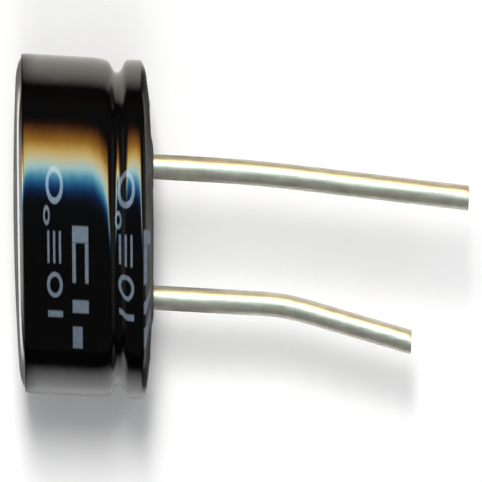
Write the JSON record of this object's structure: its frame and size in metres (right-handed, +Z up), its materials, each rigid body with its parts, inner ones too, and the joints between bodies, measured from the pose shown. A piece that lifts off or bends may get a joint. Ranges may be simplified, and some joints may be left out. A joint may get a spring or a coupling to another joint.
{
  "type": "radial electrolytic capacitor",
  "caption": "Small radial can capacitor lying on its side: black shrink sleeve, bead groove near the lead end, bare domed head and tinned wire leads of unequal length.",
  "frame": {"origin": "on the surface that the part lies on, under the middle of its whole length", "axes": "+X along the body from the closed head to the lead end, +Z up; the long lead is on the +Y side and a little higher than the short one"},
  "size_m": [0.0394, 0.0082, 0.0082],
  "materials": {
    "sleeve": "glossy black heat-shrink film with pale grey-blue marks",
    "can": "drawn, satin",
    "bung": "moulded, matte",
    "winding": "rolled foil and paper, damp with electrolyte",
    "winding_tape": "thin film tape",
    "tab": "pressed flat, bright",
    "lead": "tinned copper-clad steel wire, fine drawing marks"
  },
  "bodies": {
    "root": {"sleeve": "sleeve", "can": "can", "bung": "bung", "winding": "winding", "winding_tape": "winding_tape", "tab_long": "tab", "tab_short": "tab", "lead_long": "lead", "lead_short": "lead"}
  },
  "joints": []
}
